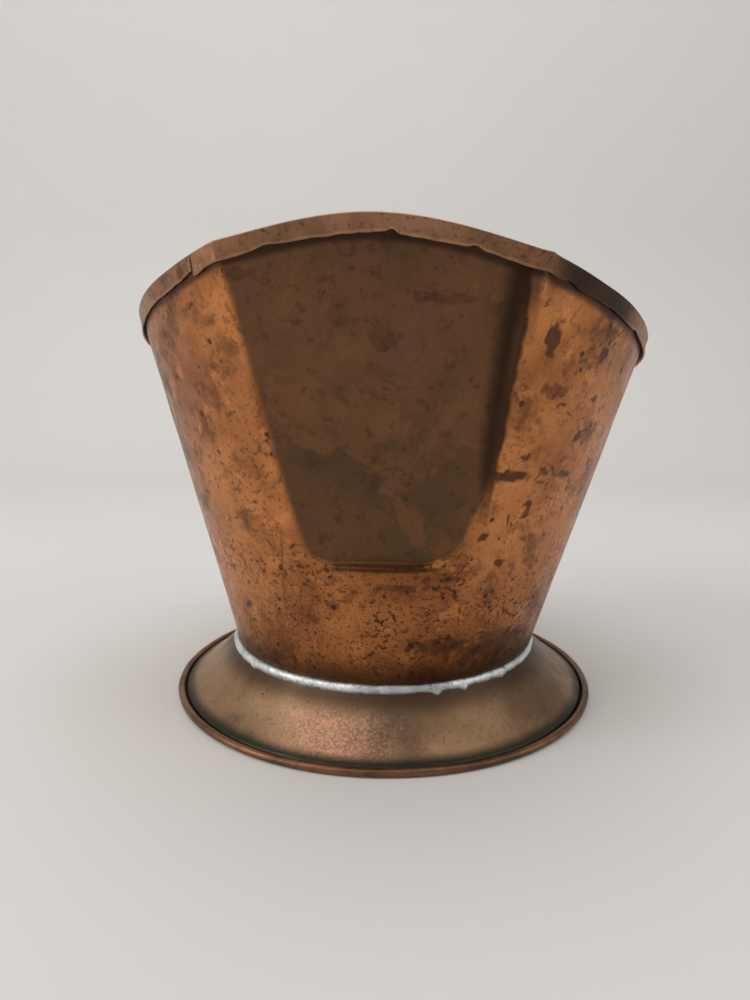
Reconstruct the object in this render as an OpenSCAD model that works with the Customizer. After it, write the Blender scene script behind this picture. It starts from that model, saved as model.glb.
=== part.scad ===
// Open copper vessel on a flared foot. The sheet body flares upward, has one flat panel
// pressed into its front, and carries a bound rim that rises over the panel.
// The origin is the centre of the foot's underside, and the panel faces -Y.

/* [Foot] */
// Diameter of the foot over its edging
foot_d = 180; // [150:1:216]
// Height of the foot, where the body stands on it
foot_h = 20.5; // [16:0.5:26]
// Thickness of the foot sheet, measured upright
foot_t = 1.2; // [0.8:0.1:1.6]
// How much steeper the skirt is near the body than a straight cone; 1 is straight
skirt_power = 1.2; // [1:0.05:1.6]
// Width of the seat turned inward at the top of the skirt
seat_w = 4; // [3:0.5:6]
// Radius of the round bead on the foot's edging
bead_r = 1.6; // [1.2:0.1:2.2]
// Thickness of the edging's flat flange
flange_t = 1; // [0.8:0.1:1.4]
// Width of the edging's flat flange under the skirt
flange_w = 5; // [3:0.5:8]
// Groove between the skirt and the bead
groove_w = 0.6; // [0.4:0.1:1]

/* [Body] */
// Outer diameter of the body where it stands on the foot
neck_d = 127.4; // [106:0.2:144]
// Flare of the body wall from upright, in degrees
flare = 15.5; // [12:0.1:19]
// Thickness of the body sheet
sheet_t = 1; // [0.8:0.1:1.4]
// Sideways lean of the body on its foot, in degrees
lean = 1.4; // [0:0.1:2]
// Width of the lap at the back, where the sheet's two ends meet
lap_w = 10; // [8:1:14]

/* [Rim] */
// Height of the rim at the back
rim_low = 137; // [115:1:165]
// Rise of the rim from the back to the front
rim_rise = 38; // [30:1:46]
// How fast the rise falls away round the sides
rim_power = 2.35; // [1.9:0.05:2.8]
// Direction of the rim's highest point, in degrees from the front
rim_turn = -5; // [-8:0.5:8]
// Extra height of the rim over the middle of the panel
arch_rise = 6; // [4:0.5:9]
// Half width of that arch, in degrees
arch_half = 45; // [36:1:50]
// Width of the binding strip
strip_w = 6; // [5:0.1:8]
// Thickness of the binding strip
strip_t = 0.8; // [0.6:0.1:1.1]
// Room between the binding strip and the body sheet
strip_gap = 0.15; // [0.1:0.05:0.3]
// Where the short and long strips meet at the front left, in degrees from the front
front_joint = -38; // [-45:1:-32]

/* [Panel] */
// Height of the panel's bottom fold
panel_z = 70; // [58:1:84]
// Depth of the fold at the panel's bottom
panel_depth = 4; // [3:0.1:5]
// Slope of the panel from upright, in degrees
panel_slope = 10.9; // [10:0.1:12]
// Direction that the panel faces, in degrees from the front
panel_turn = -4; // [-8:0.5:8]
// Half width of the tool that pressed the panel, at its bottom edge
panel_half = 34; // [30:1:38]
// Splay of that tool's sides from upright, in degrees
panel_splay = 22; // [18:1:26]
// Radius of the panel's lower corners
panel_corner = 16; // [12:1:20]

/* [Floor and solder] */
// Height of the floor above the body's lower edge
floor_lift = 2.5; // [2:0.1:4]
// Thickness of the floor disc
floor_t = 1; // [0.8:0.1:1.4]
// Clearance round the floor disc
floor_gap = 0.1; // [0.05:0.05:0.2]
// Leg of the solder fillet round the floor
fillet = 3; // [2:0.1:4]
// Radius of the solder bead round the foot joint
solder_r = 1.8; // [1.4:0.1:2.4]
// Width of the solder lines on the two back seams
seam_w = 2; // [1.5:0.1:3]
// Height of the solder lines on the two back seams
seam_t = 0.6; // [0.4:0.1:0.8]

/* [Hidden] */

copper = [0.63, 0.37, 0.2];
brown_copper = [0.4, 0.29, 0.21];
dull_copper = [0.45, 0.36, 0.26];
solder_grey = [0.6, 0.61, 0.61];

neck_r = neck_d / 2;
foot_r = foot_d / 2;
skirt_r = foot_r - 2 * bead_r - groove_w;
skirt_low = flange_t + foot_t;
// Half the angular gap where the binding strips meet
butt = 0.15;
// Margin by which cutting solids run past what they cut
over = 1;
// Side of the space that holds the whole vessel
room = 2 * (foot_d + rim_low + rim_rise);
top_z = rim_low + rim_rise + arch_rise + 3 * strip_w;
floor_z = foot_h + floor_lift;
// Depth of the front zone, where the arch over the panel sets the rim's height
zone_y = wall_r(panel_z) * 0.75;
$fn = 160;

// Outer radius of the body at a height in its own upright frame
function wall_r(z) = neck_r + (z - foot_h) * tan(flare);

// Height of the rim at an angle from the rim's highest point
function rim_z(a) = rim_low + rim_rise * pow((1 + cos(a)) / 2, rim_power)
    + (abs(a) < arch_half ? arch_rise * pow(cos(90 * a / arch_half), 2) : 0);

// Height of the skirt's outer face at a share t of the way out
function skirt_z(t) = skirt_low + (foot_h - skirt_low) * pow(1 - t, skirt_power);
function skirt_x(t) = neck_r + (skirt_r - neck_r) * t;

// Points of an arc of radius r that rounds the corner q of the path p, q, s
function unit(v) = v / norm(v);
function round_corner(p, q, s, r) =
    let (u = unit(p - q), v = unit(s - q), half = acos(u * v) / 2)
    let (centre = q + unit(u + v) * r / sin(half))
    let (a = q + u * r / tan(half) - centre, b = q + v * r / tan(half) - centre)
    let (a0 = atan2(a[1], a[0]), turn = 180 - 2 * half)
    [for (i = [0:8]) centre + r * [cos(a0 + turn * i / 8), sin(a0 + turn * i / 8)]];

// Outline of the pressing tool in the panel's plane, drawn in by grow on every side
function panel_outline(grow) =
    let (reach = panel_half + top_z * tan(panel_splay) - grow)
    let (low_left = [grow - panel_half, grow], low_right = [panel_half - grow, grow])
    concat(round_corner([-reach, top_z], low_left, low_right, panel_corner - grow),
        round_corner(low_left, low_right, [reach, top_z], panel_corner - grow),
        [[reach, top_z], [-reach, top_z]]);

// Puts the body's upright frame on the foot with its lean
module leaning() {
    translate([0, 0, foot_h]) rotate([0, lean, 0]) translate([0, 0, -foot_h]) children();
}

// What the panel takes out of a body form that is grown outward by grow
module panel_cut(grow) {
    rotate([0, 0, panel_turn])
        translate([0, panel_depth - wall_r(panel_z), panel_z])
        rotate([90 + panel_slope, 0, 0])
        translate([0, 0, grow])
        linear_extrude(height = neck_r)
        polygon(panel_outline(grow));
}

// Solid of the body's outside, grown outward by grow, between two heights
module wall_form(grow, low, high) {
    difference() {
        translate([0, 0, low])
            cylinder(h = high - low, r1 = wall_r(low) + grow / cos(flare),
                r2 = wall_r(high) + grow / cos(flare));
        panel_cut(grow);
    }
}

// Layer of the body wall between two offsets from its outside
module wall_layer(inner, outer, low = foot_h - 6) {
    difference() {
        wall_form(outer, low, top_z);
        wall_form(inner, low - over, top_z + over);
    }
}

// Everything above the rim line once that line is lowered by drop
module above_rim(drop) {
    arch_x = wall_r(rim_z(arch_half)) * sin(arch_half);
    sides = [for (i = [0:15])
        let (a = arch_half + (180 - arch_half) * i / 15)
        [-wall_r(rim_z(a)) * cos(a), rim_z(a) - drop]];
    front = [for (i = [-12:12])
        let (a = arch_half * i / 12)
        [wall_r(rim_z(arch_half)) * sin(a), rim_z(a) - drop]];
    rotate([0, 0, rim_turn]) {
        difference() {
            translate([-room / 2, 0, 0]) rotate([90, 0, 90]) linear_extrude(height = room)
                polygon(concat([[-room, top_z + 2 * over], [-room, sides[0][1]]], sides,
                    [[room, rim_low - drop], [room, top_z + 2 * over]]));
            translate([-arch_x, -room - zone_y, 0]) cube([2 * arch_x, room, room]);
        }
        translate([0, -zone_y, 0]) rotate([90, 0, 0]) linear_extrude(height = room)
            polygon(concat([[-arch_x - over, top_z + 2 * over], [-arch_x - over, front[0][1]]],
                front, [[arch_x + over, front[0][1]], [arch_x + over, top_z + 2 * over]]));
    }
}

// Upright wedge between two directions, in degrees from the front
module wedge(from, to) {
    turn = (to - from) / 6;
    linear_extrude(height = room)
        polygon(concat([[0, 0]], [for (i = [0:6])
            room * [sin(from + turn * i), -cos(from + turn * i)]]));
}

// Length of the folded strip that binds the rim, between two directions
module binding(from, to) {
    clear = sheet_t + strip_gap;
    color(brown_copper) leaning() intersection() {
        difference() {
            wall_layer(-clear - strip_t, strip_gap + strip_t);
            above_rim(0);
            difference() {
                wall_layer(-clear, strip_gap);
                above_rim(strip_t);
            }
        }
        above_rim(strip_w);
        wedge(from + butt, to - butt);
    }
}

module body_sheet() {
    lap_top = rim_low - strip_w - over;
    color(copper) difference() {
        leaning() union() {
            difference() {
                wall_layer(-sheet_t, 0);
                above_rim(strip_t + strip_gap);
            }
            intersection() {
                wall_layer(-sheet_t / 2, sheet_t);
                translate([0, 0, floor_z + solder_r]) cube([lap_w, room, lap_top - floor_z - solder_r]);
            }
        }
        translate([-room / 2, -room / 2, foot_h - room]) cube(room);
    }
}

module rim_strip_short() {
    binding(-180, front_joint);
}

module rim_strip_long() {
    binding(front_joint, 180);
}

module floor_disc() {
    color(dull_copper) leaning() translate([0, 0, floor_z])
        cylinder(h = floor_t, r1 = wall_r(floor_z) - sheet_t / cos(flare) - floor_gap,
            r2 = wall_r(floor_z + floor_t) - sheet_t / cos(flare) - floor_gap);
}

module floor_solder() {
    low = floor_z + floor_t;
    inside = wall_r(low) - sheet_t / cos(flare);
    color(solder_grey) leaning() rotate_extrude()
        polygon([[inside - fillet, low], [inside, low], [inside + fillet * tan(flare), low + fillet]]);
}

module body_seam_solder() {
    low = floor_z + solder_r;
    high = rim_low - strip_w - over;
    color(solder_grey) leaning() intersection() {
        wall_layer(0, seam_t);
        translate([-seam_w, 0, low]) cube([seam_w, room, high - low]);
    }
}

// Section of the skirt between its outer face and the same curve lowered by drop, with a
// seat of width seat turned inward at its top
module skirt_section(drop, seat) {
    outside = [for (i = [0:10]) [skirt_x(i / 10), skirt_z(i / 10)]];
    inside = [for (i = [10:-1:0]) [skirt_x(i / 10), skirt_z(i / 10) - drop]];
    polygon(concat([[neck_r - seat, foot_h]], outside, inside, [[neck_r - seat, foot_h - drop]]));
}

module foot_skirt() {
    color(dull_copper) rotate_extrude() skirt_section(foot_t, seat_w);
}

module foot_edging() {
    color(copper) rotate_extrude() union() {
        translate([foot_r - bead_r, bead_r]) circle(r = bead_r, $fn = 32);
        translate([skirt_r - flange_w, 0]) square([foot_r - bead_r - skirt_r + flange_w, flange_t]);
    }
}

module joint_solder() {
    color(solder_grey) difference() {
        rotate_extrude() translate([neck_r, foot_h]) circle(r = solder_r, $fn = 32);
        leaning() wall_form(0, foot_h - 6, foot_h + 6);
        rotate_extrude() skirt_section(foot_h - skirt_low, neck_r);
    }
}

module foot_seam_solder() {
    reach = skirt_r - neck_r - 3 * solder_r;
    color(solder_grey) intersection() {
        rotate_extrude() translate([0, seam_t]) skirt_section(seam_t, over);
        translate([-seam_w, neck_r + 2 * solder_r, 0]) cube([seam_w, reach, foot_h]);
    }
}

body_sheet();
rim_strip_short();
rim_strip_long();
floor_disc();
floor_solder();
body_seam_solder();
foot_skirt();
foot_edging();
joint_solder();
foot_seam_solder();
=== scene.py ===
"""Looks of the open copper vessel: the CAD nodes are replaced by detailed sheet-metal meshes."""
from math import cos, degrees, exp, hypot, pi, radians, sin, sqrt, tan

import bmesh
import bpy
from mathutils import Matrix, Vector, noise


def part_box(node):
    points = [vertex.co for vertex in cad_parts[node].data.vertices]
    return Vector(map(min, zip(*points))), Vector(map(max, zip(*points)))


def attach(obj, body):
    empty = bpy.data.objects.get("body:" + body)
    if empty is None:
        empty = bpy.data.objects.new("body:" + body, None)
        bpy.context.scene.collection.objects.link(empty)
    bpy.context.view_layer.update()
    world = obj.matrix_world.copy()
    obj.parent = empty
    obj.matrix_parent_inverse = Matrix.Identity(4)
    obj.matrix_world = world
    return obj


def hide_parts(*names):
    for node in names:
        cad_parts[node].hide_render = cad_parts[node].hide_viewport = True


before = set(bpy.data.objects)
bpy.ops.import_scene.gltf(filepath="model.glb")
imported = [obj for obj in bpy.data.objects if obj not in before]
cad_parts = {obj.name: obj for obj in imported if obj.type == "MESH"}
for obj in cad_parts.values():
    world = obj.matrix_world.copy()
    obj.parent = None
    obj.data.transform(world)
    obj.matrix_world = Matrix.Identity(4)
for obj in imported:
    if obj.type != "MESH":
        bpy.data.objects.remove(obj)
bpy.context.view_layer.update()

MM = 0.001

# Driving sizes, in millimetres and degrees. The frame gives the foot, the rest follows the part.
FOOT_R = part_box("foot_edging")[1][0] / MM
BEAD_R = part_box("foot_edging")[1][2] / MM / 2
FOOT_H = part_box("body_sheet")[0][2] / MM
NECK_R = 63.7
FLARE = 15.5
LEAN = 1.4
SHEET = 1.0
LAP_W, LAP_PROUD = 10.0, 0.9
RIM_LOW, RIM_RISE, RIM_POWER = 137.0, 38.0, 2.35
RIM_TURN, ARCH_RISE, ARCH_HALF = -5.0, 6.0, 45.0
STRIP_W, STRIP_T, STRIP_GAP = 6.0, 0.8, 0.15
FRONT_JOINT = -38.0
PANEL_Z, PANEL_DEPTH, PANEL_SLOPE, PANEL_TURN = 70.0, 4.0, 10.9, -4.0
# Snips in the rim strip's lower edge: direction, half width in degrees, depth in millimetres
NICKS = [(-2.0, 0.9, 1.3), (12.5, 1.2, 0.9), (29.0, 1.4, 1.0), (54.0, 1.2, 0.8), (-24.0, 1.5, 0.7)]
# Dark stains on the body: direction, height, half width and half height in millimetres, strength
STAINS = [(27.0, 102.8, 7.5, 2.4, 0.8), (43.6, 142.8, 3.6, 3.0, 0.9), (28.5, 146.0, 3.0, 7.0, 0.7),
    (44.5, 115.3, 2.6, 2.2, 0.8), (22.6, 81.2, 2.2, 2.0, 0.8), (32.5, 131.0, 7.0, 4.5, 0.55),
    (46.1, 127.9, 2.0, 2.4, 0.8), (2.3, 62.5, 17.0, 2.2, 0.55), (29.1, 70.8, 2.6, 2.0, 0.7),
    (-28.9, 163.0, 8.0, 3.0, 0.5), (-37.5, 150.0, 5.0, 3.0, 0.45), (43.9, 101.8, 5.0, 1.8, 0.6),
    (33.7, 92.4, 3.0, 1.6, 0.7), (-38.0, 83.7, 8.0, 3.0, 0.4), (15.6, 38.9, 16.0, 4.5, 0.6),
    (7.4, 157.5, 12.0, 2.6, 0.5), (36.0, 36.0, 22.0, 8.0, 0.6), (118.0, 70.0, 9.0, 5.0, 0.6),
    (150.0, 110.0, 6.0, 4.0, 0.6), (-110.0, 95.0, 8.0, 6.0, 0.6), (-150.0, 50.0, 14.0, 5.0, 0.5)]
FLOOR_Z, FLOOR_T = FOOT_H + 2.5, 1.0
GROOVE, FLANGE_T, FLANGE_W = 0.6, 1.0, 5.0
SKIRT_R = FOOT_R - 2 * BEAD_R - GROOVE
SKIRT_T, SKIRT_POWER, SEAT_W = 1.2, 1.2, 4.0
# The panel's right edge: its distance from the panel's middle line at the fold, and its splay
RIGHT_EDGE, RIGHT_SPLAY = 33.5, 0.112
# The fold at the panel's lower edge: middle, half of its straight length, and corner radius
FOLD_X, FOLD_HALF, FOLD_CORNER, FOLD_TILT = 1.5, 13.0, 17.0, 0.03
TROUGH = 2.0


def smooth(low, high, x):
    """Smooth step from 0 at low to 1 at high; low may be the larger."""
    t = min(max((x - low) / (high - low), 0.0), 1.0)
    return t * t * (3 - 2 * t)


def wobble(x, y, z, scale, seed=0.0):
    """Smooth noise between about -1 and 1 whose features measure scale millimetres."""
    return noise.noise(Vector((x / scale + seed, y / scale - seed, z / scale + 2 * seed)))


def wall_r(z):
    """Radius of the plain cone at a height."""
    return NECK_R + (z - FOOT_H) * tan(radians(FLARE))


def rim_z(a):
    """Height of the rim, in the body's upright frame, at a degrees from the front."""
    b = (a - RIM_TURN + 180) % 360 - 180
    z = RIM_LOW + RIM_RISE * ((1 + cos(radians(b))) / 2) ** RIM_POWER
    if abs(b) < ARCH_HALF:
        z += ARCH_RISE * cos(radians(90 * b / ARCH_HALF)) ** 2
    return z


def panel_at(a, z):
    """(depth of the panel's recess, mask of the panel) at a point of the body's outside."""
    turn = radians(a - PANEL_TURN)
    if cos(turn) < 0.5:
        return 0.0, 0.0
    cone = wall_r(z)
    x = cone * sin(turn)
    # The right edge is a sharp bend beside a shallow trough, which fades out below the rim.
    below_rim = smooth(rim_z(a) - 4, rim_z(a) - 30, z)
    right_edge = RIGHT_EDGE + RIGHT_SPLAY * (z - PANEL_Z)
    trough = TROUGH * below_rim * smooth(8, right_edge, x)
    flat = wall_r(PANEL_Z) - PANEL_DEPTH + (z - PANEL_Z) * tan(radians(PANEL_SLOPE)) - trough
    gap = cone - flat / cos(turn)
    softness = 0.5 + 3.0 * (1 - below_rim) if x > 0 else 1.1
    depth = 0.5 * (gap + sqrt(gap * gap + softness ** 2)) - 0.5 * softness * exp(-abs(gap))
    depth = max(depth, 0.0)
    cut = 1 - below_rim * smooth(right_edge - 0.6, right_edge + 1.8, x)
    # The lower edge is a fold that curls up at both ends.
    past = max(abs(x - FOLD_X) - FOLD_HALF, 0.0) / FOLD_CORNER
    fold = PANEL_Z + FOLD_CORNER * (1 - sqrt(max(1 - past * past, 0.0))) + FOLD_TILT * x
    rise = smooth(fold - 0.7, fold + 1.3, z)
    mask = smooth(0.1, 1.1, depth) * cut * smooth(fold - 0.5, fold + 1.5, z)
    return depth * cut * rise, mask


def bend_shade(a, z):
    """Painted dark reflection along the panel's right bend and painted shade under its lower fold."""
    turn = radians(a - PANEL_TURN)
    if cos(turn) < 0.5:
        return 0.0
    x = wall_r(z) * sin(turn)
    right_edge = RIGHT_EDGE + RIGHT_SPLAY * (z - PANEL_Z)
    width = 2.5 + 5 * smooth(PANEL_Z + 15, PANEL_Z + 60, z)
    band = smooth(right_edge - width, right_edge - 0.2 * width, x)
    edge = right_edge + 0.8 * wobble(z, 0, 0, 7)
    band *= smooth(edge + 2.2, edge + 1.2, x) * smooth(PANEL_Z + 8, PANEL_Z + 34, z)
    fold = PANEL_Z - 0.9 + FOLD_TILT * x
    line = smooth(1.3, 0.3, abs(z - fold)) * smooth(-19, -12, x) * smooth(27, 18, x)
    return max(band, 0.9 * line)


def stain_at(a, z):
    """Strength of the dark stains at a point, with ragged outlines."""
    total = 0.0
    ragged = 0.5 * wobble(a, z, 0, 2.2, 6.0) + 0.4 * wobble(a, z, 0, 5.0, 2.0)
    for turn, height, wide, tall, strength in STAINS:
        across = radians((a - turn + 180) % 360 - 180) * wall_r(z) / wide
        far = hypot(across, (z - height) / tall)
        if far < 2:
            total = max(total, strength * smooth(1.15, 0.65, far + ragged))
    return total


def scribe_at(a, z):
    """A faint upright line scratched below the panel's left side."""
    along = (84 - z) / 39
    if not 0 < along < 1:
        return 0.0
    turn = -27.5 - 3.2 * min(along * 1.3, 1.0)
    return smooth(0.55, 0.15, abs(a - turn)) * smooth(0, 0.15, along) * smooth(1, 0.85, along)


def outside_r(a, z):
    """Radius of the body's outer face, with the panel, the lap at the back and small dents."""
    depth, _ = panel_at(a, z)
    back = radians(180 - a % 360) * wall_r(z)
    lap = smooth(-0.15, 0.25, back) * smooth(LAP_W + 3, LAP_W - 1, back)
    lap *= smooth(FLOOR_Z, FLOOR_Z + 3, z) * smooth(RIM_LOW - 4, RIM_LOW - 9, z)
    x, y = wall_r(z) * sin(radians(a)), -wall_r(z) * cos(radians(a))
    dents = 0.32 * wobble(x, y, z, 34) + 0.1 * wobble(x, y, z, 11, 3.0)
    return wall_r(z) - depth + LAP_PROUD * lap + dents * smooth(FOOT_H, FOOT_H + 12, z)


def on_ring(a, r, z):
    """Point at a degrees from the front, in an upright frame."""
    return Vector((r * sin(radians(a)), -r * cos(radians(a)), z))


def leaned(p):
    """Point of the body's upright frame, put on the foot with its lean."""
    c, s = cos(radians(LEAN)), sin(radians(LEAN))
    h = p.z - FOOT_H
    return Vector((p.x * c + h * s, p.y, FOOT_H + h * c - p.x * s))


def sweep(name, sections, closed=True, inner_from=None, masks=None):
    """Mesh that joins closed cross-sections one to the next. Faces between points at or past
    inner_from take the second material."""
    count = len(sections[0])
    verts = [p * MM for section in sections for p in section]
    faces, slots = [], []
    steps = len(sections) if closed else len(sections) - 1
    for i in range(steps):
        j = (i + 1) % len(sections)
        for k in range(count):
            m = (k + 1) % count
            faces.append((i * count + k, j * count + k, j * count + m, i * count + m))
            slots.append(1 if inner_from is not None and k >= inner_from else 0)
    if not closed:
        last = (len(sections) - 1) * count
        faces.append(tuple(range(count)))
        faces.append(tuple(last + k for k in reversed(range(count))))
        slots += [0, 0]
    mesh = bpy.data.meshes.new(name)
    mesh.from_pydata(verts, [], faces)
    mesh.polygons.foreach_set("material_index", slots)
    mesh.polygons.foreach_set("use_smooth", [True] * len(faces))
    for key, values in (masks or {}).items():
        mesh.attributes.new(key, "FLOAT", "POINT").data.foreach_set("value", values)
    mesh.update()
    piece = bpy.data.objects.new(name, mesh)
    bpy.context.scene.collection.objects.link(piece)
    return piece


def keep(piece, node, slot, *materials):
    """Gives the piece its materials and puts it in the place of its CAD node."""
    for material in materials:
        piece.data.materials.append(material)
    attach(piece, "root")
    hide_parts(node)


def spread(parts):
    """Angles that step through the given (from, to, step) stretches."""
    angles = []
    for low, high, step in parts:
        n = max(round((high - low) / step), 1)
        angles += [low + (high - low) * i / n for i in range(n)]
    return angles


# ---------------------------------------------------------------- materials

class Nodes:
    """Short ways to write a procedural material."""

    def __init__(self, name):
        self.material = bpy.data.materials.new(name)
        self.material.use_nodes = True
        self.tree = self.material.node_tree
        self.shader = self.tree.nodes["Principled BSDF"]
        self.place = self.tree.nodes.new("ShaderNodeTexCoord").outputs["Object"]

    def link(self, value, socket):
        if isinstance(value, bpy.types.NodeSocket):
            self.tree.links.new(value, socket)
        else:
            socket.default_value = value

    def noise(self, scale, detail=3.0, rough=0.55, stretch=None, warp=0.0):
        node = self.tree.nodes.new("ShaderNodeTexNoise")
        node.inputs["Scale"].default_value = scale
        node.inputs["Detail"].default_value = detail
        node.inputs["Roughness"].default_value = rough
        node.inputs["Distortion"].default_value = warp
        place = self.place
        if stretch:
            mapping = self.tree.nodes.new("ShaderNodeMapping")
            mapping.inputs["Scale"].default_value = stretch
            self.tree.links.new(place, mapping.inputs["Vector"])
            place = mapping.outputs["Vector"]
        self.tree.links.new(place, node.inputs["Vector"])
        return node.outputs["Fac"]

    def cells(self, scale):
        node = self.tree.nodes.new("ShaderNodeTexVoronoi")
        node.inputs["Scale"].default_value = scale
        self.tree.links.new(self.place, node.inputs["Vector"])
        return node.outputs["Distance"]

    def mask(self, name):
        node = self.tree.nodes.new("ShaderNodeAttribute")
        node.attribute_name = name
        return node.outputs["Fac"]

    def height(self):
        node = self.tree.nodes.new("ShaderNodeSeparateXYZ")
        self.tree.links.new(self.place, node.inputs[0])
        return node.outputs["Z"]

    def math(self, kind, a, b=0.0):
        node = self.tree.nodes.new("ShaderNodeMath")
        node.operation = kind
        node.use_clamp = kind in ("MULTIPLY", "MAXIMUM", "MINIMUM")
        self.link(a, node.inputs[0])
        self.link(b, node.inputs[1])
        return node.outputs[0]

    def step(self, value, low, high, out_low=0.0, out_high=1.0):
        node = self.tree.nodes.new("ShaderNodeMapRange")
        node.interpolation_type = "SMOOTHSTEP"
        self.link(value, node.inputs["Value"])
        node.inputs["From Min"].default_value = low
        node.inputs["From Max"].default_value = high
        node.inputs["To Min"].default_value = out_low
        node.inputs["To Max"].default_value = out_high
        return node.outputs["Result"]

    def mix(self, factor, a, b):
        node = self.tree.nodes.new("ShaderNodeMix")
        node.data_type = "RGBA"
        self.link(factor, node.inputs[0])
        self.link(a, node.inputs[6])
        self.link(b, node.inputs[7])
        return node.outputs[2]

    def bump(self, height, strength, distance):
        node = self.tree.nodes.new("ShaderNodeBump")
        node.inputs["Strength"].default_value = strength
        node.inputs["Distance"].default_value = distance
        self.link(height, node.inputs["Height"])
        self.tree.links.new(node.outputs[0], self.shader.inputs["Normal"])

    def finish(self, colour, rough, metallic):
        self.link(colour, self.shader.inputs["Base Color"])
        self.link(rough, self.shader.inputs["Roughness"])
        self.shader.inputs["Metallic"].default_value = metallic
        return self.material


def colour(r, g, b):
    """Linear colour from screen values of 0 to 255."""
    return tuple((v / 255) ** 2.2 for v in (r, g, b)) + (1.0,)


def clouds(n, light, dark, scale=26):
    """Soft large-scale drift between two tones."""
    return n.mix(n.step(n.noise(scale, 5, 0.6), 0.36, 0.66), light, dark)


def body_material():
    """Bright copper with specks, spots and stains, and a browner panel, which is also painted darker as a
    painted dark reflection.
    """
    n = Nodes("body_copper")
    panel, low = n.mask("panel"), n.mask("low")
    flank = clouds(n, colour(194, 126, 76), colour(144, 88, 50), 21)
    flank = n.mix(n.step(n.noise(60, 6, 0.68), 0.5, 0.66, 0, 0.7), flank, colour(104, 64, 42))
    flank = n.mix(n.step(n.noise(95, 5, 0.6, warp=0.4), 0.56, 0.68, 0, 0.6), flank, colour(214, 138, 80))
    # The panel's own browner patina, also painted darker as a painted dark reflection.
    press = clouds(n, colour(112, 78, 54), colour(84, 62, 44), 18)
    press = n.mix(n.step(n.height(), 0.125, 0.085, 0, 0.4), press, colour(92, 70, 44))
    press = n.mix(n.step(n.noise(75, 5, 0.65), 0.5, 0.7, 0, 0.5), press, colour(70, 50, 36))
    press = n.mix(n.step(n.noise(33, 5, 0.7, warp=0.5), 0.52, 0.6, 0, 0.45), press, colour(128, 86, 58))
    press = n.mix(n.step(n.noise(210, 5, 0.7), 0.55, 0.66, 0, 0.5), press, colour(62, 46, 32))
    base = n.mix(panel, flank, press)
    # Fine dark specks, closer together towards the bottom, and few on the panel.
    specks = n.step(n.noise(520, 4, 0.65), 0.545, 0.6)
    crowd = n.step(n.noise(48, 5, 0.65), 0.38, 0.6, 0.2, 1.0)
    near_foot = n.step(low, 95, 30, 0.5, 1.0)
    specks = n.math("MULTIPLY", n.math("MULTIPLY", specks, crowd), near_foot)
    specks = n.math("MULTIPLY", specks, n.step(panel, 0, 1, 0.9, 0.12))
    base = n.mix(specks, base, colour(62, 40, 28))
    grains = n.step(n.noise(1100, 2, 0.5), 0.57, 0.63, 0, 0.7)
    grains = n.math("MULTIPLY", grains, n.step(low, 70, 20, 0.25, 1.0))
    grains = n.math("MULTIPLY", grains, n.step(panel, 0, 1, 1.0, 0.1))
    base = n.mix(grains, base, colour(84, 54, 34))
    # Larger dark spots and blotches with soft outlines.
    spots = n.step(n.noise(135, 5, 0.66, warp=0.8), 0.6, 0.655, 0, 0.8)
    spots = n.math("MULTIPLY", spots, n.step(panel, 0, 1, 1.0, 0.3))
    base = n.mix(spots, base, colour(74, 46, 36))
    dots = n.step(n.cells(150), 0.2, 0.12)
    dots = n.math("MULTIPLY", dots, n.step(n.noise(60, 2, 0.5), 0.52, 0.58, 0, 0.85))
    dots = n.math("MULTIPLY", dots, n.step(panel, 0, 1, 1.0, 0.45))
    base = n.mix(dots, base, colour(58, 38, 34))
    rings = n.cells(62)
    ring = n.math("MULTIPLY", n.step(rings, 0.17, 0.2), n.step(rings, 0.25, 0.21))
    ring = n.math("MULTIPLY", ring, n.step(n.noise(38, 2, 0.5), 0.56, 0.62, 0, 0.6))
    base = n.mix(ring, base, colour(84, 52, 44))
    # Streaks along the sheet, a painted shadow under the rim strip, and darker just above the solder.
    streaks = n.step(n.noise(90, 4, 0.7, stretch=(1, 1, 0.16)), 0.54, 0.72, 0, 0.4)
    base = n.mix(streaks, base, colour(104, 70, 46))
    base = n.mix(n.step(n.mask("rim"), 8.0, 5.6, 0, 0.8), base, colour(44, 32, 26))
    base = n.mix(n.step(low, 16, 1.5, 0, 0.85), base, colour(62, 46, 32))
    edges = n.math("ADD", n.mask("stain"), n.math("MULTIPLY", n.math("SUBTRACT", n.noise(300, 4), 0.5), 0.5))
    base = n.mix(n.step(edges, 0.25, 0.75, 0, 0.85), base, colour(66, 42, 32))
    # Painted dark reflection and shade at the panel's right bend and lower fold, with the faint scribed
    # line.
    base = n.mix(n.math("MULTIPLY", n.mask("painted_shade_and_scribe"), 0.88), base, colour(44, 28, 18))
    rough = n.step(n.noise(120, 4, 0.6), 0.3, 0.7, 0.28, 0.44)
    rough = n.math("ADD", rough, n.math("MULTIPLY", specks, 0.15))
    n.bump(n.math("MULTIPLY", n.noise(240, 4, 0.6), 0.5), 0.4, 0.0004)
    return n.finish(base, rough, 0.8)


def plain_patina(name, light, dark, stain):
    """Browned copper with drifting tones, small specks and patches of a stain colour."""
    n = Nodes(name)
    base = clouds(n, light, dark, 32)
    base = n.mix(n.step(n.noise(110, 5, 0.65), 0.52, 0.7, 0, 0.6), base, stain)
    base = n.mix(n.step(n.noise(700, 3, 0.6), 0.6, 0.66, 0, 0.48), base, stain)
    n.bump(n.noise(260, 4, 0.6), 0.3, 0.0003)
    return n.finish(base, n.step(n.noise(90, 4, 0.6), 0.3, 0.7, 0.32, 0.5), 0.75)


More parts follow.
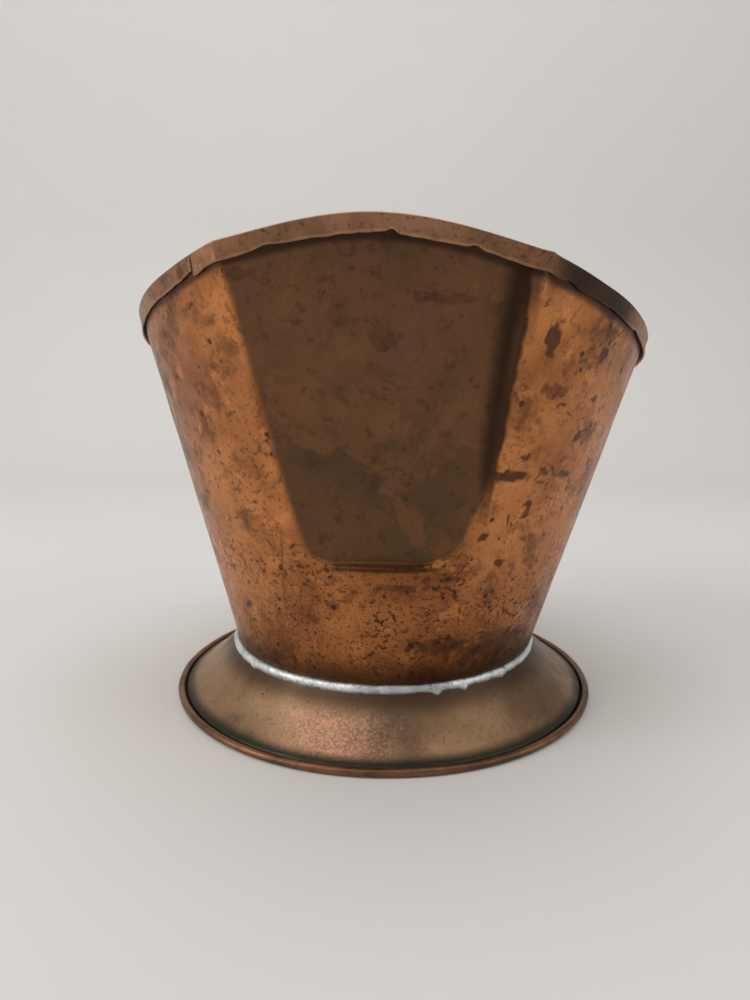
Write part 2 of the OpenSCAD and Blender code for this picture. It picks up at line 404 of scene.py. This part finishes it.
def rim_material():
    """Browned copper, with a painted dark reflection over one stretch and a painted highlight along its top
    fold.
    """
    n = Nodes("rim_copper")
    base = clouds(n, colour(164, 120, 90), colour(112, 80, 58), 30)
    base = n.mix(n.step(n.noise(110, 5, 0.65), 0.5, 0.68, 0, 0.7), base, colour(64, 44, 34))
    base = n.mix(n.step(n.noise(600, 4, 0.6), 0.58, 0.64, 0, 0.5), base, colour(52, 36, 28))
    base = n.mix(n.step(n.noise(42, 3, 0.6), 0.56, 0.66, 0, 0.4), base, colour(158, 108, 76))
    edge_amount = n.tree.nodes.new("ShaderNodeNewGeometry").outputs["Pointiness"]
    # Painted highlight along the top fold's sharp edge.
    base = n.mix(n.step(edge_amount, 0.52, 0.6, 0, 0.45), base, colour(176, 132, 100))
    # Painted dark reflection over one stretch of the rim.
    base = n.mix(n.math("MULTIPLY", n.mask("painted_reflection"), 0.85), base, colour(42, 29, 23))
    n.bump(n.noise(260, 4, 0.6), 0.3, 0.0003)
    return n.finish(base, n.step(n.noise(90, 4, 0.6), 0.3, 0.7, 0.3, 0.46), 0.78)


def foot_material():
    """Olive-brown copper, darker brown at its top and dark green-brown low down by its groove."""
    n = Nodes("foot_copper")
    base = clouds(n, colour(160, 126, 94), colour(118, 90, 66), 22)
    base = n.mix(n.step(n.noise(46, 4, 0.6), 0.54, 0.7, 0, 0.45), base, colour(96, 84, 62))
    # A patch at the front where fine bright copper shows through.
    grains = n.step(n.noise(1000, 4, 0.7), 0.46, 0.56, 0, 0.9)
    grains = n.math("MULTIPLY", grains, n.mask("bare"))
    base = n.mix(grains, base, colour(206, 148, 122))
    dust = n.step(n.noise(900, 2, 0.5), 0.7, 0.74, 0, 0.5)
    base = n.mix(dust, base, colour(190, 180, 160))
    pits = n.step(n.noise(330, 2, 0.5), 0.74, 0.77)
    base = n.mix(pits, base, colour(34, 28, 24))
    # Darker brown towards the top, and dark green-brown low down by the groove.
    base = n.mix(n.step(n.height(), 0.0115, 0.0180, 0, 0.85), base, colour(72, 52, 36))
    base = n.mix(n.step(n.height(), 0.0050, 0.0026, 0, 0.95), base, colour(38, 44, 34))
    base = n.mix(n.step(n.noise(560, 4, 0.7), 0.56, 0.64, 0, 0.45), base, colour(84, 68, 50))
    n.bump(n.noise(200, 4, 0.6), 0.35, 0.0003)
    return n.finish(base, n.step(n.noise(80, 4, 0.6), 0.3, 0.7, 0.34, 0.5), 0.7)


def solder_material():
    """Pitted grey solder."""
    n = Nodes("solder")
    base = clouds(n, colour(226, 228, 226), colour(176, 180, 180), 90)
    pits = n.step(n.noise(520, 3, 0.6), 0.58, 0.68, 0, 0.7)
    base = n.mix(pits, base, colour(112, 112, 108))
    n.bump(n.noise(420, 4, 0.65), 0.7, 0.0005)
    return n.finish(base, n.step(n.noise(300, 3, 0.6), 0.3, 0.7, 0.32, 0.55), 0.75)


# ---------------------------------------------------------------- pieces

def body_angles():
    """Directions of the body's columns, close together at the panel and at the back lap."""
    return spread([(-180, -176, 0.25), (-176, -50, 1.5), (-50, 42, 0.4), (42, 168, 1.5),
        (168, 180, 0.3)])


def body_sheet(outer, inner):
    """The flaring sheet: its outer surface carries the masks for the patina and for the painted shade and
    reflection.
    """
    rows = 96
    sections, panel, rim, low, painted_shade_and_scribe, stain = [], [], [], [], [], []
    for a in body_angles():
        top = rim_z(a) - STRIP_T - STRIP_GAP
        foot_cut = FOOT_H + NECK_R * sin(radians(a)) * tan(radians(LEAN))
        heights = [foot_cut + (top - foot_cut) * i / rows for i in range(rows + 1)]
        fold = [PANEL_Z - 2 + 0.5 * i for i in range(10)]
        heights = sorted(heights + fold)
        outside = [(outside_r(a, z), z) for z in heights]
        inside = [(r - SHEET, z) for r, z in reversed(outside)]
        sections.append([leaned(on_ring(a, r, z)) for r, z in outside + inside])
        for k, (r, z) in enumerate(outside + inside):
            _, mask = panel_at(a, z)
            panel.append(mask)
            rim.append(top - z)
            low.append(z - foot_cut)
            shown = k < len(outside)
            # Painted shade and reflection at the panel's bends, and the faint scribed line.
            painted_shade_and_scribe.append(max(bend_shade(a, z), 0.45 * scribe_at(a, z)) if shown else 0.0)
            stain.append(stain_at(a, z) if shown else 0.0)
    count = len(sections[0]) // 2
    masks = {"panel": panel, "rim": rim, "low": low, "painted_shade_and_scribe": painted_shade_and_scribe, "stain": stain}
    piece = sweep("copper_body", sections, inner_from=count - 1, masks=masks)
    keep(piece, "body_sheet", "body_copper", outer, inner)


def strip_profile(a, start, end):
    """Section of the folded strip at a: its outer leg's lower edge is uneven."""
    top = rim_z(a)
    drop = STRIP_W * (1 + 0.1 * wobble(a, 0, 0, 9) + 0.06 * wobble(a, 5, 0, 2.5, 7.0))
    # Nicks where the edge was snipped to follow the bends, and a short flare at the joint.
    for nick, width, deep in NICKS:
        drop -= deep * exp(-((a - nick) / width) ** 2)
    drop += 0.8 * smooth(4, 0, a - start) - 0.9 * smooth(5, 0, end - a)
    # The leg stands off the wall towards the sides of the mouth.
    proud = 0.25 + 0.75 * smooth(55, 80, abs(a - RIM_TURN)) + 0.2 * abs(wobble(a, 0, 9, 6))
    points = []
    steps = 5
    for i in range(steps + 1):
        t = i / steps
        z = top - drop * (1 - t) - 0.9 * t
        points.append((outside_r(a, z) + STRIP_GAP + STRIP_T * 0.9 + proud * (1 - t) ** 2, z))
    r_top = outside_r(a, top)
    half = (SHEET + 2 * STRIP_GAP + 2 * STRIP_T * 0.9) / 2
    middle = r_top - SHEET / 2
    for i in range(1, 8):
        turn = pi * i / 8
        points.append((middle + half * cos(turn), top - 0.9 + 0.9 * sin(turn)))
    for i in range(steps + 1):
        t = i / steps
        z = top - 0.9 * (1 - t) - drop * 0.9 * t
        points.append((outside_r(a, z) - SHEET - STRIP_GAP - STRIP_T * 0.9, z))
    z = top - drop
    gap = STRIP_GAP + 0.05
    points.append((outside_r(a, z) - SHEET - gap, top - drop * 0.9))
    points.append((r_top - SHEET - gap, top - 1.4))
    points.append((r_top + gap, top - 1.4))
    points.append((outside_r(a, z) + gap + proud * 0.95, z + 0.05))
    return [leaned(on_ring(a, r, h)) for r, h in points]


def rim_strip(node, start, end, material):
    """Folded strip over the rim between two directions."""
    butt = 0.15
    angles = [a for a in body_angles() if start + butt < a < end - butt]
    angles = [start + butt] + angles + [end - butt]
    sections = [strip_profile(a, start, end) for a in angles]
    # Painted dark reflection over one stretch of the strip.
    painted_reflection = [smooth(19, 30, a) * smooth(56, 44, a) for a in angles for _ in sections[0]]
    piece = sweep(node + "_fold", sections, closed=False, masks={"painted_reflection": painted_reflection})
    keep(piece, node, "rim_copper", material)


def floor_disc(material):
    """Slightly uneven floor, closed in the middle by one small face on each side."""
    edge = wall_r(FLOOR_Z) - SHEET - 0.2
    rings = [0.6, 8, 20, 32, 44, 54, edge - 2, edge]
    sections = []
    for i in range(180):
        a = 2.0 * i
        top = []
        for r in rings:
            p = on_ring(a, r, 0)
            top.append((r, FLOOR_Z + FLOOR_T + 0.35 * wobble(p.x, p.y, 0, 22) * smooth(edge, edge - 9, r)))
        under = [(r, FLOOR_Z + 0.35 * wobble(r, 0, 0, 30) * smooth(edge, edge - 9, r)) for r in rings]
        sections.append([leaned(on_ring(a, r, z)) for r, z in top + under[::-1]])
    piece = sweep("copper_floor", sections)
    mesh = piece.data
    count = len(sections[0])
    shape = bmesh.new()
    shape.from_mesh(mesh)
    shape.verts.ensure_lookup_table()
    middles = [f for f in shape.faces if all(v.index % count in (0, count - 1) for v in f.verts)]
    bmesh.ops.delete(shape, geom=middles, context="FACES_ONLY")
    shape.verts.ensure_lookup_table()
    shape.faces.new([shape.verts[i * count] for i in range(180)])
    shape.faces.new([shape.verts[i * count + count - 1] for i in reversed(range(180))])
    shape.to_mesh(mesh)
    shape.free()
    keep(piece, "floor_disc", "floor_copper", material)


def floor_solder(material):
    """Hollow fillet of uneven width in the corner between the floor and the wall."""
    low = FLOOR_Z + FLOOR_T
    sections = []
    for i in range(240):
        a = 1.5 * i
        leg = 2.6 + 0.5 * wobble(a, 0, 0, 11) + 0.3 * wobble(a, 0, 0, 3, 5.0)
        wall = outside_r(a, low) - SHEET
        points = [(wall, low - 0.2), (wall + 0.2 * leg, low + leg)]
        for k in range(1, 6):
            turn = pi / 2 * k / 6
            points.append((wall - leg * sin(turn) * 0.98, low + leg * (1 - sin(turn)) * 0.9 + 0.05))
        points.append((wall - leg, low - 0.2))
        sections.append([leaned(on_ring(a, r, z)) for r, z in points])
    keep(sweep("floor_fillet", sections), "floor_solder", "solder", material)


def skirt_z(t):
    """Height of the skirt's outer face at a share t of the way out."""
    low = FLANGE_T + SKIRT_T
    return low + (FOOT_H - low) * (1 - t) ** SKIRT_POWER


def foot_skirt(material):
    """Flared skirt with a seat at its top, gently dented, with a bare patch at the front."""
    sections, bare = [], []
    steps = 26
    for i in range(360):
        a = float(i)
        points = [(NECK_R - SEAT_W, FOOT_H), (NECK_R - SEAT_W / 2, FOOT_H)]
        for k in range(steps + 1):
            t = k / steps
            r = NECK_R + (SKIRT_R - NECK_R) * t
            p = on_ring(a, r, 0)
            dent = 0.25 * wobble(p.x, p.y, 0, 26, 4.0) * smooth(0, 0.25, t) * smooth(1, 0.8, t)
            points.append((r, skirt_z(t) + dent))
        under = [(r, z - SKIRT_T) for r, z in reversed(points)]
        section = [on_ring(a, r, z) for r, z in points + under]
        sections.append(section)
        turn = (a + 180) % 360 - 180
        for p in section:
            patch = exp(-((turn + 14) / 13) ** 2) * smooth(66, 74, hypot(p.x, p.y))
            bare.append(min(patch + 0.12 * max(wobble(p.x, p.y, 0, 14, 2.0), 0), 1.0))
    keep(sweep("flared_foot", sections, masks={"bare": bare}), "foot_skirt", "foot_copper", material)


def foot_edging(material):
    """Edging with a flat flange under the skirt and a rounded, slightly uneven lip."""
    sections = []
    for i in range(360):
        a = float(i)
        turn = (a + 180) % 360 - 180
        # The lip is worn in a little at the front.
        edge_amount = 0.35 * exp(-((turn - 4) / 24) ** 2)
        lift = 0.15 * wobble(turn, 0, 0, 14) + 0.08 * wobble(turn, 4, 0, 4)
        bead = BEAD_R - 0.1
        centre_r = FOOT_R - BEAD_R - edge_amount
        top = 0.95 * FLANGE_T
        points = [(SKIRT_R - FLANGE_W, 0.0), (SKIRT_R - FLANGE_W, top)]
        points.append((centre_r - bead * 1.2, top))
        points.append((centre_r - bead * 0.98, bead + 0.1))
        for k in range(9):
            t = radians(170 - 260 * k / 8)
            z = bead + bead * sin(t)
            points.append((centre_r + bead * cos(t), max(z + lift * smooth(bead, 2 * bead, z), 0.0)))
        sections.append([on_ring(a, r, z) for r, z in points])
    keep(sweep("foot_lip", sections), "foot_edging", "edging_copper", material)


def joint_solder(material):
    """Hand-run bead with uneven width, lumps and two drips at the front right."""
    sections = []
    for i in range(720):
        a = 0.5 * i
        turn = (a + 180) % 360 - 180
        size = 1.85 + 0.3 * smooth(30, -60, turn) + 0.28 * wobble(turn, 0, 0, 7)
        size += 0.12 * wobble(turn, 3, 0, 2.2)
        drip = 1.3 * exp(-((turn - 17) / 1.6) ** 2) + 1.0 * exp(-((turn - 27) / 1.3) ** 2)
        drip += 0.7 * exp(-((turn - 44) / 1.8) ** 2) + 0.6 * exp(-((turn + 52) / 2.2) ** 2)
        points = [(NECK_R - 0.4, FOOT_H + size * 1.05)]
        for k in range(1, 10):
            t = radians(80 - 150 * k / 9)
            down = max(-sin(t), 0.0)
            r = NECK_R + 0.15 + size * 0.95 * cos(t) + drip * down * 1.15
            z = FOOT_H + size * sin(t) * (1.05 if t > 0 else 1.0) - drip * down * 0.75
            points.append((r, z))
        points.append((NECK_R - 0.4, FOOT_H - 0.9))
        sections.append([on_ring(a, r, z) for r, z in points])
    keep(sweep("solder_bead", sections), "joint_solder", "solder", material)


def body_seam_solder(material):
    """Run of solder beside the lap at the back."""
    sections = []
    steps = 150
    low, high = FLOOR_Z + 2, RIM_LOW - STRIP_W - 1
    for i in range(steps + 1):
        z = low + (high - low) * i / steps
        half = 0.95 + 0.2 * wobble(z, 0, 0, 6) + 0.12 * wobble(z, 2, 0, 2)
        points = []
        for k in range(7):
            t = pi * k / 6
            x = -1.0 + half * cos(t)
            a = 180 - degrees(x / wall_r(z))
            bulge = 0.55 * sin(t)
            points.append(leaned(on_ring(a, wall_r(z) + 0.02 + bulge, z)))
        sections.append(points)
    keep(sweep("seam_run", sections, closed=False), "body_seam_solder", "solder", material)


def foot_seam_solder(material):
    """Run of solder over the skirt's seam at the back."""
    sections = []
    steps = 60
    for i in range(steps + 1):
        r = NECK_R + 3.6 + (SKIRT_R - NECK_R - 5.4) * i / steps
        z = skirt_z((r - NECK_R) / (SKIRT_R - NECK_R))
        half = 0.9 + 0.2 * wobble(r, 0, 0, 3, 9.0)
        points = []
        for k in range(7):
            t = pi * k / 6
            points.append(Vector((-1.0 + half * cos(t), r, z + 0.5 * sin(t) - 0.05)))
        sections.append(points)
    keep(sweep("foot_seam_run", sections, closed=False), "foot_seam_solder", "solder", material)


def build_pieces():
    dull = plain_patina("inner_copper", colour(142, 108, 80), colour(104, 82, 60), colour(78, 66, 54))
    rim = rim_material()
    edge = plain_patina("edging_copper", colour(134, 94, 66), colour(92, 66, 46), colour(48, 44, 34))
    solder = solder_material()
    body_sheet(body_material(), dull)
    rim_strip("rim_strip_short", -180, FRONT_JOINT, rim)
    rim_strip("rim_strip_long", FRONT_JOINT, 180, rim)
    floor_disc(dull)
    floor_solder(solder)
    body_seam_solder(solder)
    foot_skirt(foot_material())
    foot_edging(edge)
    joint_solder(solder)
    foot_seam_solder(solder)


# ---------------------------------------------------------------- stage, light and camera

def stage_plane():
    """Floor that curves up into a backdrop behind the object."""
    points = [(-3.0, 0.0), (0.55, 0.0)]
    for k in range(1, 13):
        t = pi / 2 * k / 12
        points.append((0.55 + 0.35 * sin(t), 0.35 * (1 - cos(t))))
    points.append((0.9, 3.0))
    verts = [(x, y, z) for x in (-3.0, 3.0) for y, z in points]
    count = len(points)
    faces = [(k, k + count, k + count + 1, k + 1) for k in range(count - 1)]
    mesh = bpy.data.meshes.new("floor")
    mesh.from_pydata(verts, [], faces)
    mesh.polygons.foreach_set("use_smooth", [True] * len(faces))
    floor = bpy.data.objects.new("floor", mesh)
    bpy.context.scene.collection.objects.link(floor)
    n = Nodes("pale_floor")
    tone = n.mix(n.noise(3, 2), (0.66, 0.64, 0.61, 1), (0.7, 0.68, 0.65, 1))
    mesh.materials.append(n.finish(tone, 0.8, 0.0))


def lamp(name, place, target, size, power):
    """Soft rectangular lamp that points at target."""
    light = bpy.data.lights.new(name, "AREA")
    light.shape = "RECTANGLE"
    light.size, light.size_y = size
    light.energy = power
    holder = bpy.data.objects.new(name, light)
    holder.location = place
    holder.rotation_euler = (Vector(target) - Vector(place)).to_track_quat("-Z", "Y").to_euler()
    bpy.context.scene.collection.objects.link(holder)


def lights():
    """Two windows, a ceiling and an even room."""
    lamp("window_left", (-1.1, -0.5, 0.7), (0, 0, 0.1), (0.9, 1.2), 10)
    lamp("window_right", (1.1, -0.45, 0.6), (0, 0, 0.1), (0.8, 1.0), 4)
    lamp("ceiling", (0.0, 0.1, 1.4), (0, 0, 0.0), (1.4, 1.2), 9)
    world = bpy.data.worlds.new("room")
    world.use_nodes = True
    nodes, links = world.node_tree.nodes, world.node_tree.links
    room = nodes["Background"]
    room.inputs["Color"].default_value = (0.72, 0.72, 0.74, 1)
    room.inputs["Strength"].default_value = 0.45
    # What the camera sees past the floor is as pale as the floor.
    seen = nodes.new("ShaderNodeBackground")
    seen.inputs["Color"].default_value = (0.68, 0.66, 0.63, 1)
    path = nodes.new("ShaderNodeLightPath")
    either = nodes.new("ShaderNodeMath")
    either.operation = "MAXIMUM"
    links.new(path.outputs["Is Camera Ray"], either.inputs[0])
    links.new(path.outputs["Is Transmission Ray"], either.inputs[1])
    choice = nodes.new("ShaderNodeMixShader")
    links.new(either.outputs[0], choice.inputs[0])
    links.new(room.outputs[0], choice.inputs[1])
    links.new(seen.outputs[0], choice.inputs[2])
    links.new(choice.outputs[0], nodes["World Output"].inputs["Surface"])
    bpy.context.scene.world = world


def camera():
    """A wide phone-like lens close in front of the panel, a little above the rim's height."""
    data = bpy.data.cameras.new("camera")
    data.sensor_fit = "HORIZONTAL"
    data.sensor_width = 36.0
    data.lens = 36.05
    data.clip_start = 0.01
    holder = bpy.data.objects.new("camera", data)
    tilt = Matrix.Rotation(radians(90 - 10.28), 4, "X") @ Matrix.Rotation(radians(0.33), 4, "Z")
    holder.matrix_world = Matrix.Translation((-0.0041, -0.3218, 0.1379)) @ tilt
    bpy.context.scene.collection.objects.link(holder)
    bpy.context.scene.camera = holder


build_pieces()
stage_plane()
lights()
camera()
bpy.context.scene.view_settings.view_transform = "Standard"
